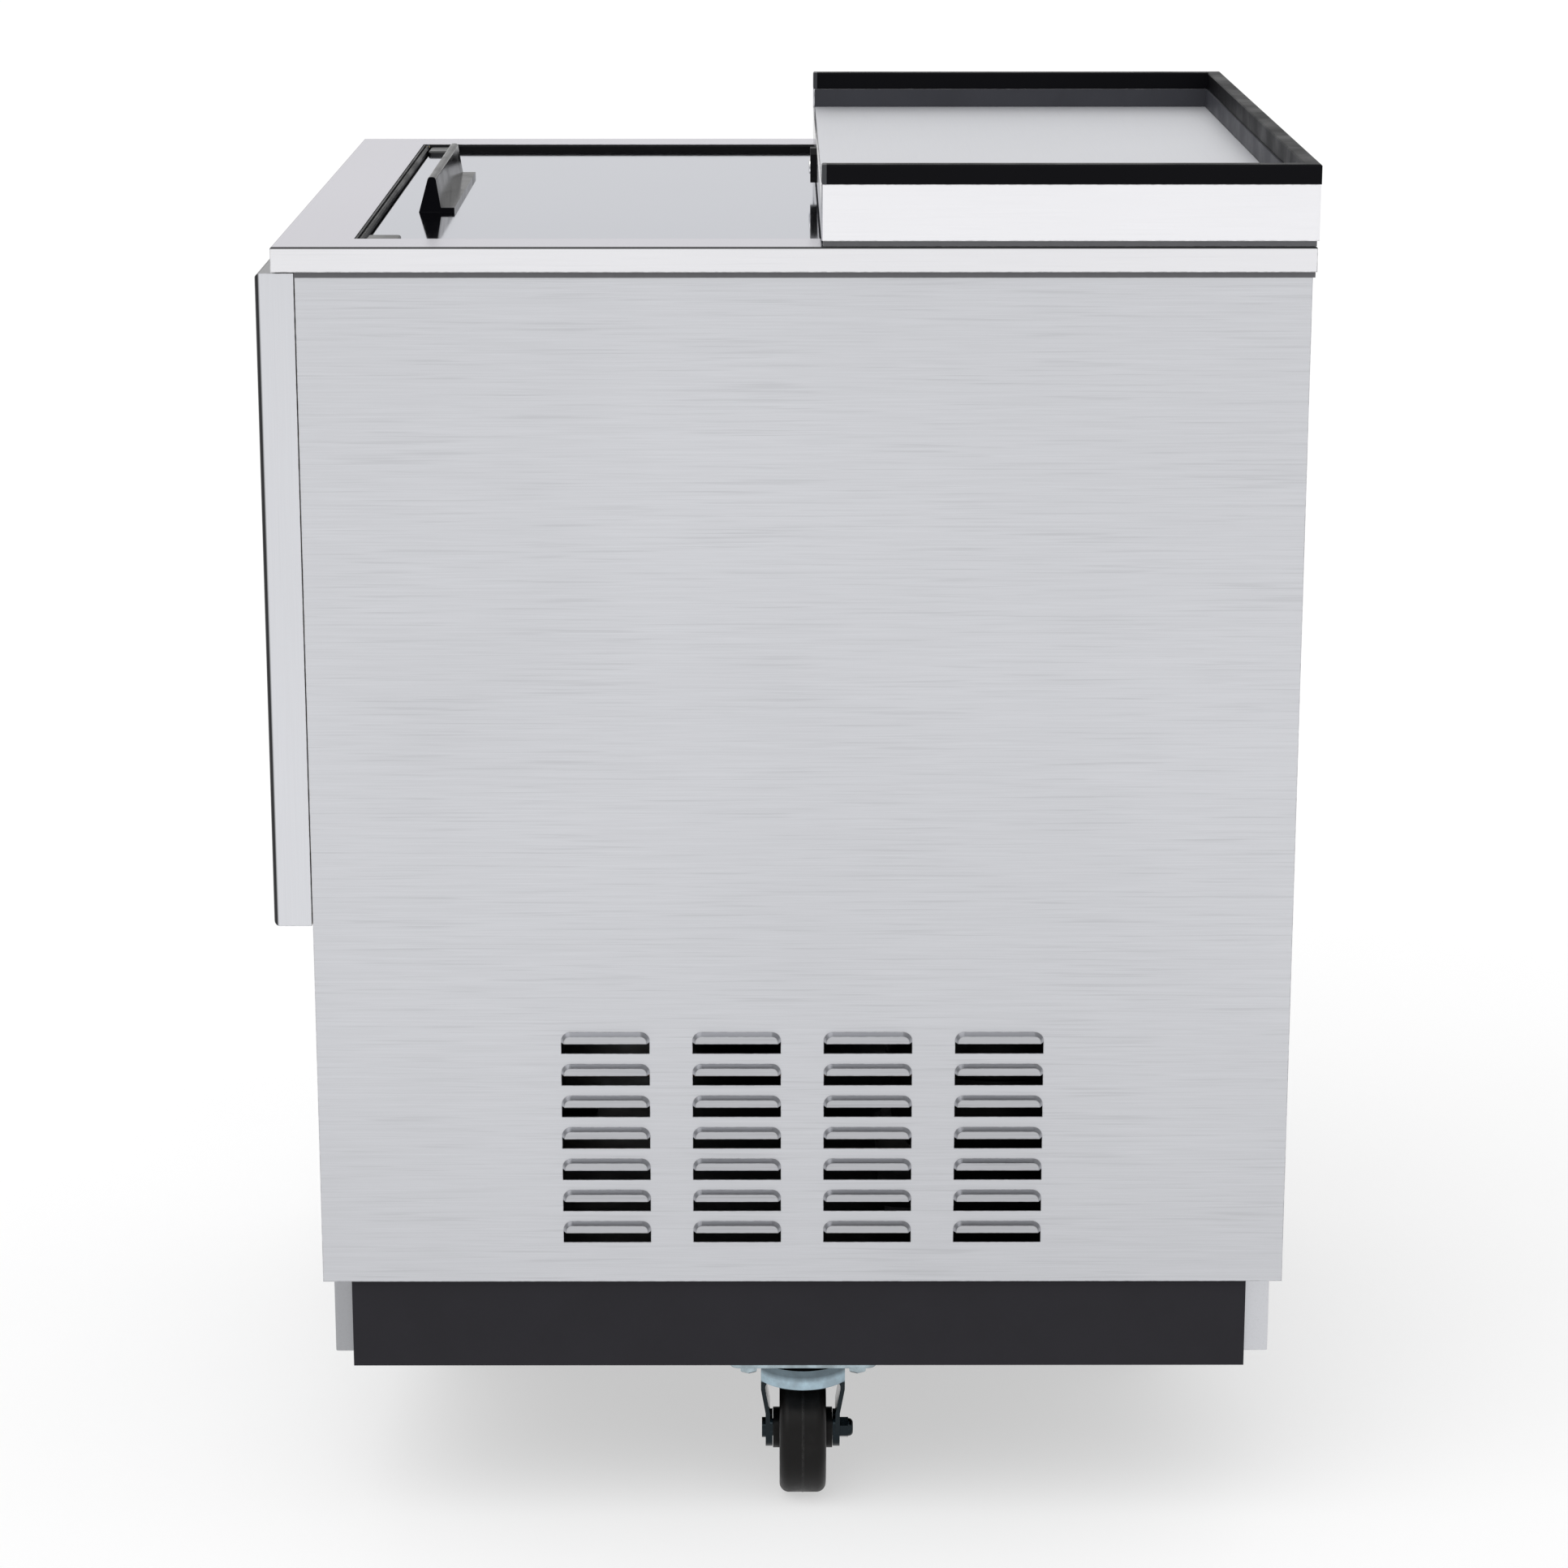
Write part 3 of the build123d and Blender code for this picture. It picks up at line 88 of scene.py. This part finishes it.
# ---- node materials ----
class Material:
    """A node material under construction, with short ways to add and join its nodes."""

    def __init__(self, name, **sockets):
        self.material = bpy.data.materials.new(name)
        self.material.use_nodes = True
        self.tree = self.material.node_tree
        self.shader = self.tree.nodes["Principled BSDF"]
        for socket, value in sockets.items():
            self.shader.inputs[socket.replace("_", " ")].default_value = value
        self.place = self.add("TexCoord").outputs["Object"]

    def add(self, kind, links=None, **settings):
        """Add a node; links maps an input's name or number to an output or to a value."""
        node = self.tree.nodes.new("ShaderNode" + kind)
        for name, value in settings.items():
            setattr(node, name, value)
        for name, value in (links or {}).items():
            if isinstance(value, bpy.types.NodeSocket):
                self.tree.links.new(value, node.inputs[name])
            else:
                node.inputs[name].default_value = value
        return node

    def feed(self, socket, output):
        self.tree.links.new(output, self.shader.inputs[socket])

    def noise(self, stretch, scale=1.0, detail=3.0, roughness=0.55, shift=0.0):
        """Noise in object space; stretch is how many cycles a metre it has along X, Y and Z."""
        mapped = self.add("Mapping", {"Vector": self.place, "Scale": stretch,
                                      "Location": (shift,) * 3})
        return self.add("TexNoise", {"Vector": mapped.outputs[0], "Scale": scale, "Detail": detail,
                                     "Roughness": roughness}).outputs["Fac"]

    def range(self, value, low, high, from_low=0.0, from_high=1.0):
        """Map a value from one range to another, clamped."""
        return self.add("MapRange", {"Value": value, "From Min": from_low, "From Max": from_high,
                                     "To Min": low, "To Max": high}).outputs["Result"]

    def math(self, operation, first, second=0.5, clamp=False):
        return self.add("Math", {0: first, 1: second}, operation=operation, use_clamp=clamp).outputs[0]

    def mix(self, factor, first, second, blend="MIX"):
        node = self.add("Mix", data_type="RGBA", blend_type=blend)
        sockets = (node.inputs["Factor"], node.inputs[6], node.inputs[7])
        for socket, value in zip(sockets, (factor, first, second)):
            if isinstance(value, bpy.types.NodeSocket):
                self.tree.links.new(value, socket)
            else:
                socket.default_value = value
        return node.outputs[2]

    def bump(self, *layers):
        """Bump from (height, strength, distance) layers, the finest last."""
        normal = None
        for height, strength, distance in layers:
            links = {"Height": height, "Strength": strength, "Distance": distance}
            if normal:
                links["Normal"] = normal
            normal = self.add("Bump", links).outputs[0]
        self.feed("Normal", normal)

    def edges(self, radius, sharpness=0.35):
        """Up to 1 on the piece's edges and 0 on its faces, broken up by noise."""
        bevel = self.add("Bevel", {"Radius": radius}, samples=4).outputs[0]
        flat = self.add("NewGeometry").outputs["Normal"]
        cosine = self.add("VectorMath", {0: bevel, 1: flat}, operation="DOT_PRODUCT").outputs["Value"]
        edge = self.range(cosine, 1.0, 0.0, 1.0 - sharpness, 0.995)
        broken = self.range(self.noise((1, 1, 1), 220.0), 0.2, 1.0, 0.35, 0.6)
        return self.math("MULTIPLY", edge, broken)

    def bends(self, axes):
        """1 on surfaces that turn between facing along one of the axes and facing across it."""
        normal = self.add("SeparateXYZ", {0: self.add("NewGeometry").outputs["Normal"]})
        total = 0.0
        for axis in axes:
            lean = self.math("ABSOLUTE", normal.outputs[axis])
            mask = self.math("MULTIPLY", self.range(lean, 0.0, 1.0, 0.12, 0.4),
                             self.range(lean, 1.0, 0.0, 0.94, 0.985))
            total = self.math("ADD", mask, total, clamp=True)
        return total

    def standing_out(self, face, depth):
        """0 inside the face of a side panel or of the front grille, 1 on a louvre standing out of it."""
        place = self.add("SeparateXYZ", {0: self.place})
        side = self.range(self.math("ABSOLUTE", place.outputs["X"]), 0.0, 1.0, face[0], face[0] + depth)
        ahead = self.range(place.outputs["Y"], 1.0, 0.0, face[1] - depth, face[1])
        return self.math("MAXIMUM", side, ahead)

    def facing(self, axis, sign=1.0):
        """1 on surfaces that face along an axis."""
        normal = self.add("SeparateXYZ", {0: self.add("NewGeometry").outputs["Normal"]})
        return self.range(self.math("MULTIPLY", normal.outputs[axis], sign), 0.0, 1.0, 0.9, 0.99)


STAINLESS = (0.946, 0.957, 1.0)
BRIGHT = (0.975, 0.972, 1.0)


def grey(value, tint=(1.0, 1.0, 1.0)):
    return (value * tint[0], value * tint[1], value * tint[2], 1.0)


def brushed_metal(name, level, roughness, along, tint=STAINLESS, grain=1.0, cloud=1.0, streak=1.0,
                  edge=0.9 * MM, edge_line_shade=0.75, metallic=1.0, fold_shade=0.3, bend_axes="Z", top_shade=1.0, front=1.0,
                  louvre_shade=1.0, brow_shade=1.0, low=1.0, grazing=(1.0, 1.0, 1.0)):
    """Sheet metal: a fine grain along X, Y or Z, faint darker hairs, clouding and edges darkened as
    painted dark reflection lines.

    bend darkens folds; top, brow, front, hood and low scale the tone of surfaces facing up, surfaces
    facing forward, the front half of the piece, louvres, and the lower part; all of this is painted
    shade. line sets how dark the painted edge lines are; grazing is the tint of the metal seen at a
    shallow angle.
    """
    m = Material(name, Metallic=metallic, Specular_Tint=grazing + (1.0,))
    axis = "XYZ".index(along)
    fine = [GRAIN_ACROSS] * 3
    fine[axis] = GRAIN_ALONG
    long = [HAIRS_ACROSS] * 3
    long[axis] = HAIRS_ALONG
    hair = m.noise(fine, detail=3.0, roughness=0.6)
    lines = m.noise(long, detail=2.0, shift=3.7)
    broad = m.noise((CLOUDS,) * 3, detail=2.0, shift=9.1)
    height = m.add("SeparateXYZ", {0: m.place}).outputs["Z"]
    dark = m.range(lines, 1.0 - 0.085 * streak, 1.0, 0.33, 0.43)
    # The hair and cloud scales are the metal's own grain and clouding; the height scale is painted shade
    # towards the bottom.
    scales = [m.range(hair, 1.0 - 0.05 * grain, 1.0 + 0.04 * grain, 0.3, 0.7),
              m.range(broad, 1.0 - 0.025 * cloud, 1.0 + 0.02 * cloud, 0.35, 0.65),
              m.range(height, low, 1.0, LOW_TONE, FULL_TONE)]
    # Darkening faces that look up or forward, the front half and louvres that stand out: painted shade.
    if top_shade != 1.0:
        scales.append(m.range(m.facing("Z"), 1.0, top_shade))
    if brow_shade != 1.0:
        scales.append(m.range(m.facing("Y", -1.0), 1.0, brow_shade))
    if front != 1.0:
        ahead = m.add("SeparateXYZ", {0: m.place}).outputs["Y"]
        scales.append(m.range(ahead, front, 1.0, -MIDDLE, MIDDLE))
    if louvre_shade != 1.0:
        scales.append(m.range(m.standing_out(SHEET_FACES, LOUVRE_DEPTH), 1.0, louvre_shade))
    # Darkening folds: painted shade.
    scales.append(m.range(m.bends(bend_axes), 1.0, 1.0 - fold_shade))
    tone = dark
    for scale in scales:
        tone = m.math("MULTIPLY", tone, scale)
    colour = m.add("VectorMath", {0: grey(level, tint)[:3]}, operation="SCALE")
    m.tree.links.new(tone, colour.inputs["Scale"])
    # Edges mixed towards a dark grey: painted dark reflection lines.
    painted_edge_line = m.math("MULTIPLY", m.edges(edge, 0.2), edge_line_shade)
    m.feed("Base Color", m.mix(painted_edge_line, colour.outputs[0], grey(0.13 * level, tint)))
    m.feed("Roughness", m.range(hair, roughness - 0.04 * grain, roughness + 0.05 * grain, 0.3, 0.7))
    m.bump((hair, 0.06 * grain, 0.04 * MM))
    return m.material


def moulded_plastic(name, colour, worn, roughness, specular=0.35, grain=1.0, rub=0.6):
    """Plastic or powder coat: a fine pebbled surface, uneven gloss and lighter, rubbed edges."""
    m = Material(name, Specular_IOR_Level=specular)
    pebble = m.noise((1, 1, 1), 1800.0, detail=2.0)
    smear = m.noise((1, 1, 1), 26.0, detail=4.0, shift=5.3)
    rubbed = m.math("MULTIPLY", m.edges(0.5 * MM), rub)
    paler = tuple(c * 1.12 for c in colour[:3]) + (1.0,)
    shade = m.mix(m.range(smear, 0.0, 1.0, 0.35, 0.65), colour, paler)
    m.feed("Base Color", m.mix(rubbed, shade, worn))
    m.feed("Roughness", m.range(smear, roughness - 0.05, roughness + 0.09, 0.35, 0.65))
    m.bump((pebble, 0.12 * grain, 0.04 * MM))
    return m.material


def plated_metal(name, level, tint, roughness, patchy=1.0, highlight_band=None):
    """Zinc, chrome or copper, cloudy and duller in patches; outside the heights of film it is painted
    dark as shade, leaving a painted highlight band.
    """
    m = Material(name, Metallic=1.0)
    cloud = m.noise((1, 1, 1), 90.0, detail=5.0)
    patch = m.noise((1, 1, 1), 24.0, detail=3.0, shift=2.2)
    bright = grey(level, tint)
    dull = grey(level * (1.0 - 0.35 * patchy), tuple(0.9 * t + 0.1 for t in tint))
    plate = m.mix(m.range(cloud, 0.0, 1.0, 0.38, 0.62), bright, dull)
    # Below and above the band the plate is mixed towards near black as painted shade, so the band reads
    # as a painted highlight.
    if highlight_band:
        height = m.add("SeparateXYZ", {0: m.place}).outputs["Z"]
        low, high = highlight_band
        plate = m.mix(m.range(height, 0.0, 1.0, low - 3.0 * MM, low), grey(0.05 * level, tint), plate)
        plate = m.mix(m.range(height, 0.0, 0.75, high, high + 4.0 * MM), plate, grey(0.12 * level, tint))
    m.feed("Base Color", plate)
    m.feed("Roughness", m.range(patch, roughness, roughness + 0.18 * patchy, 0.4, 0.62))
    m.bump((cloud, 0.15 * patchy, 0.05 * MM))
    return m.material


def galvanised(name):
    """Hot-dipped sheet with its crystal spangle."""
    m = Material(name, Metallic=1.0)
    spangle = m.add("TexVoronoi", {"Vector": m.place, "Scale": 95.0, "Randomness": 1.0})
    tone = m.add("SeparateColor", {0: spangle.outputs["Color"]}).outputs[0]
    dark, bright = grey(0.46, (0.97, 0.99, 1.0)), grey(0.60)
    m.feed("Base Color", m.mix(m.range(tone, 0.0, 1.0), dark, bright))
    m.feed("Roughness", m.range(tone, 0.32, 0.50))
    m.bump((m.noise((1, 1, 1), 160.0), 0.08, 0.05 * MM))
    return m.material


def rubber(name, colour, roughness):
    """Solid rubber or phenolic: scuffs, dust in the pores, rubbed mould lines and an uneven sheen."""
    m = Material(name, Specular_IOR_Level=0.2)
    pores = m.noise((1, 1, 1), 1400.0, detail=3.0)
    scuff = m.noise((1, 1, 1), 60.0, detail=5.0, roughness=0.65, shift=4.4)
    dust = tuple(0.8 * c + 0.008 for c in colour[:3]) + (1.0,)
    rubbed = tuple(2.0 * c + 0.10 for c in colour[:3]) + (1.0,)
    shade = m.mix(m.range(scuff, 0.0, 0.6, 0.48, 0.72), colour, dust)
    m.feed("Base Color", m.mix(m.edges(0.5 * MM, 0.2), shade, rubbed))
    m.feed("Roughness", m.range(scuff, roughness - 0.06, roughness + 0.16, 0.35, 0.7))
    m.bump((scuff, 0.12, 0.2 * MM), (pores, 0.15, 0.05 * MM))
    return m.material


def foam(name):
    """Cut polyurethane foam, straw coloured with open cells."""
    m = Material(name, Roughness=0.9)
    cells = m.add("TexVoronoi", {"Vector": m.place, "Scale": 900.0}).outputs["Distance"]
    walls, hollows = grey(0.62, (1.0, 0.86, 0.55)), grey(0.5, (1.0, 0.8, 0.45))
    m.feed("Base Color", m.mix(m.range(cells, 0.0, 1.0), walls, hollows))
    m.bump((cells, 0.5, 0.4 * MM))
    return m.material


def finned(name):
    """Bare aluminium fins, slightly dusty."""
    m = Material(name, Metallic=1.0)
    dust = m.noise((1, 1, 1), 30.0, detail=4.0)
    clean, dusty = grey(0.66), grey(0.42, (1.0, 0.97, 0.92))
    m.feed("Base Color", m.mix(m.range(dust, 0.0, 0.5, 0.4, 0.7), clean, dusty))
    m.feed("Roughness", m.range(dust, 0.3, 0.55, 0.4, 0.7))
    m.bump((m.noise((1, 1, 1), 400.0), 0.1, 0.05 * MM))
    return m.material


BLACK = (0.0025, 0.0025, 0.0035, 1.0)
BLACK_WORN = (0.035, 0.036, 0.040, 1.0)
PALE_WORN = (0.80, 0.80, 0.79, 1.0)

# Every stainless look below darkens its folds and its edges as painted shade and painted dark reflection
# lines.
LOOKS = {
    # Side panels: louvres and the lower part darkened as painted shade.
    "brushed_stainless": brushed_metal("brushed_stainless", 0.647, 0.34, "Y", fold_shade=0.42, edge=1.1 * MM,
                                       louvre_shade=0.80, low=0.93),
    # Apron: upward faces and rounded edges darkened as painted shade and painted dark reflection.
    "apron_stainless": brushed_metal("apron_stainless", 0.70, 0.30, "Z", grain=0.4, streak=0.15,
                                     fold_shade=0.95, bend_axes="YZ", top_shade=0.36),
    # Deck: upward faces darker than the lip, and a dark line along the lip's top edge, as painted shade
    # and painted reflection.
    "bright_stainless": brushed_metal("bright_stainless", 0.80, 0.18, "Y", BRIGHT, 0.4, 0.5, 0.2,
                                      edge=1.3 * MM, edge_line_shade=0.9, fold_shade=0.96, top_shade=0.785,
                                      grazing=(0.955, 0.945, 0.985)),
    # Housing: forward faces darkened as painted shade.
    "housing_stainless": brushed_metal("housing_stainless", 0.86, 0.16, "Y", BRIGHT, 0.3, 0.4, 0.1,
                                       edge=1.3 * MM, edge_line_shade=0.9, fold_shade=0.9, brow_shade=0.45),
    "lid_stainless": brushed_metal("lid_stainless", 0.570, 0.065, "Y", STAINLESS, 0.2, 0.5, 0.1, fold_shade=0.6,
                                   grazing=(0.895, 0.905, 0.94)),
    "tray_stainless": brushed_metal("tray_stainless", 0.70, 0.48, "X", STAINLESS, 0.3, 0.6, 0.1,
                                    metallic=0.7),
    "tub_stainless": brushed_metal("tub_stainless", 0.80, 0.40, "X", grain=0.6, streak=0.5, metallic=0.5),
    # Kick strips: the front one darker than the rear one as painted shade.
    "kick_steel": brushed_metal("kick_steel", 0.62, 0.34, "X", grain=0.6, streak=0.4, front=0.6),
    "galvanised_steel": galvanised("galvanised_steel"),
    "dark_painted_steel": moulded_plastic("dark_painted_steel", (0.0175, 0.0168, 0.0205, 1.0),
                                          (0.05, 0.05, 0.058, 1.0), 0.50, 0.12),
    "zinc_plated": plated_metal("zinc_plated", 0.55, (0.76, 0.92, 1.0), 0.14),
    # The forks' zinc: painted shade on the legs and the top of the crown, a painted highlight band across
    # it.
    "zinc_with_painted_light": plated_metal("zinc_with_painted_light", 0.60, (0.66, 0.87, 1.0), 0.10, 0.8, highlight_band=FORK_HIGHLIGHT_BAND),
    "lock_chrome": plated_metal("lock_chrome", 0.80, (1.0, 1.0, 1.0), 0.10, 0.3),
    "caster_tread": rubber("caster_tread", (0.0022, 0.0017, 0.0015, 1.0), 0.38),
    "seal_rubber": rubber("seal_rubber", (0.105, 0.105, 0.112, 1.0), 0.6),
    "handle_plastic": moulded_plastic("handle_plastic", BLACK, BLACK_WORN, 0.15, 0.03, 0.3),
    "cap_plastic": moulded_plastic("cap_plastic", BLACK, BLACK_WORN, 0.28, 0.5, 0.3),
    "black_plastic": moulded_plastic("black_plastic", BLACK, BLACK_WORN, 0.40, 0.14, rub=0.8),
    "rail_black": moulded_plastic("rail_black", BLACK, (0.03, 0.03, 0.033, 1.0), 0.42, 0.06, 0.6,
                                  rub=0.5),
    "skirting_grey": moulded_plastic("skirting_grey", (0.040, 0.041, 0.048, 1.0),
                                     (0.08, 0.08, 0.09, 1.0), 0.45, 0.10, 0.6),
    "grey_plastic": moulded_plastic("grey_plastic", (0.030, 0.032, 0.036, 1.0),
                                    (0.10, 0.10, 0.11, 1.0), 0.42),
    "white_plastic": moulded_plastic("white_plastic", (0.74, 0.75, 0.76, 1.0), PALE_WORN, 0.35),
    "insulation": foam("insulation"),
    "coated_wire": moulded_plastic("coated_wire", (0.76, 0.77, 0.78, 1.0), PALE_WORN, 0.28),
    "fin_aluminium": finned("fin_aluminium"),
    # motor_black is also given to the machine compartment's bottom pan, ceiling and condenser shroud: a
    # dark sheet standing in for the shade seen through the louvres.
    "motor_black": moulded_plastic("motor_black", (0.004, 0.004, 0.0045, 1.0),
                                   (0.015, 0.015, 0.016, 1.0), 0.45, 0.12),
    "copper": plated_metal("copper", 0.45, (1.0, 0.55, 0.34), 0.28, 0.8),
}

# Pieces of one material whose own finish differs from the rest; the apron's and housing's looks also hold
# painted shade, and the forks' zinc is painted shade around a painted highlight.
FINISHES = {
    "front_apron": "apron_stainless",
    "rear_housing": "housing_stainless",
    "tray_skirting": "skirting_grey",
    "lid_corner_caps": "cap_plastic",
    "fork_right": "zinc_with_painted_light",
    "fork_left": "zinc_with_painted_light",
    "fork_front": "zinc_with_painted_light",
    "fork_rear": "zinc_with_painted_light",
}

for part in frame["record"]["subparts"]:
    look = FINISHES.get(part["node"], part["material_slot"])
    mesh = nodes[part["node"]].data
    mesh.materials.clear()
    mesh.materials.append(LOOKS[look])


# ---- floor, light and camera ----
def pale_floor():
    """A wide pale floor, with a faint unevenness."""
    mesh = bpy.data.meshes.new("floor")
    half = FLOOR_HALF
    corners = [(-half, -half, 0), (half, -half, 0), (half, half, 0), (-half, half, 0)]
    mesh.from_pydata(corners, [], [(0, 1, 2, 3)])
    m = Material("floor", Roughness=0.8, Specular_IOR_Level=0.1, Emission_Color=grey(1.0),
                 Emission_Strength=FLOOR_GLOW)
    darker, paler = (grey(tone) for tone in FLOOR_TONES)
    m.feed("Base Color", m.mix(m.noise((1, 1, 1), 3.0), darker, paler))
    mesh.materials.append(m.material)
    floor = bpy.data.objects.new("floor", mesh)
    bpy.context.scene.collection.objects.link(floor)


def studio():
    """An even, pale surround and one broad soft light from the front right."""
    world = bpy.data.worlds.new("studio")
    world.use_nodes = True
    background = world.node_tree.nodes["Background"]
    background.inputs["Color"].default_value = (1.0, 1.0, 1.0, 1.0)
    background.inputs["Strength"].default_value = SURROUND
    bpy.context.scene.world = world
    light = bpy.data.lights.new("key", "SUN")
    light.energy = SUN_STRENGTH
    light.angle = SUN_WIDTH
    lamp = bpy.data.objects.new("key", light)
    lamp.rotation_mode = "QUATERNION"
    lamp.rotation_quaternion = Vector(SUN_DIRECTION).to_track_quat("-Z", "Y")
    bpy.context.scene.collection.objects.link(lamp)


def camera():
    """Square to the right side, a little above the tray, tilted down to the middle of the side."""
    side_x = cad_high.x
    data = bpy.data.cameras.new("camera")
    data.lens = LENS
    data.shift_y = SHIFT
    data.dof.use_dof = False
    view = bpy.data.objects.new("camera", data)
    view.location = (side_x + CAMERA_AWAY, CAMERA_Y, CAMERA_Z)
    aim = Vector((side_x, AIM_Y, AIM_Z))
    view.rotation_mode = "QUATERNION"
    view.rotation_quaternion = (aim - view.location).to_track_quat("-Z", "Y")
    bpy.context.scene.collection.objects.link(view)
    bpy.context.scene.camera = view


pale_floor()
studio()
camera()
bpy.context.scene.view_settings.view_transform = "Standard"
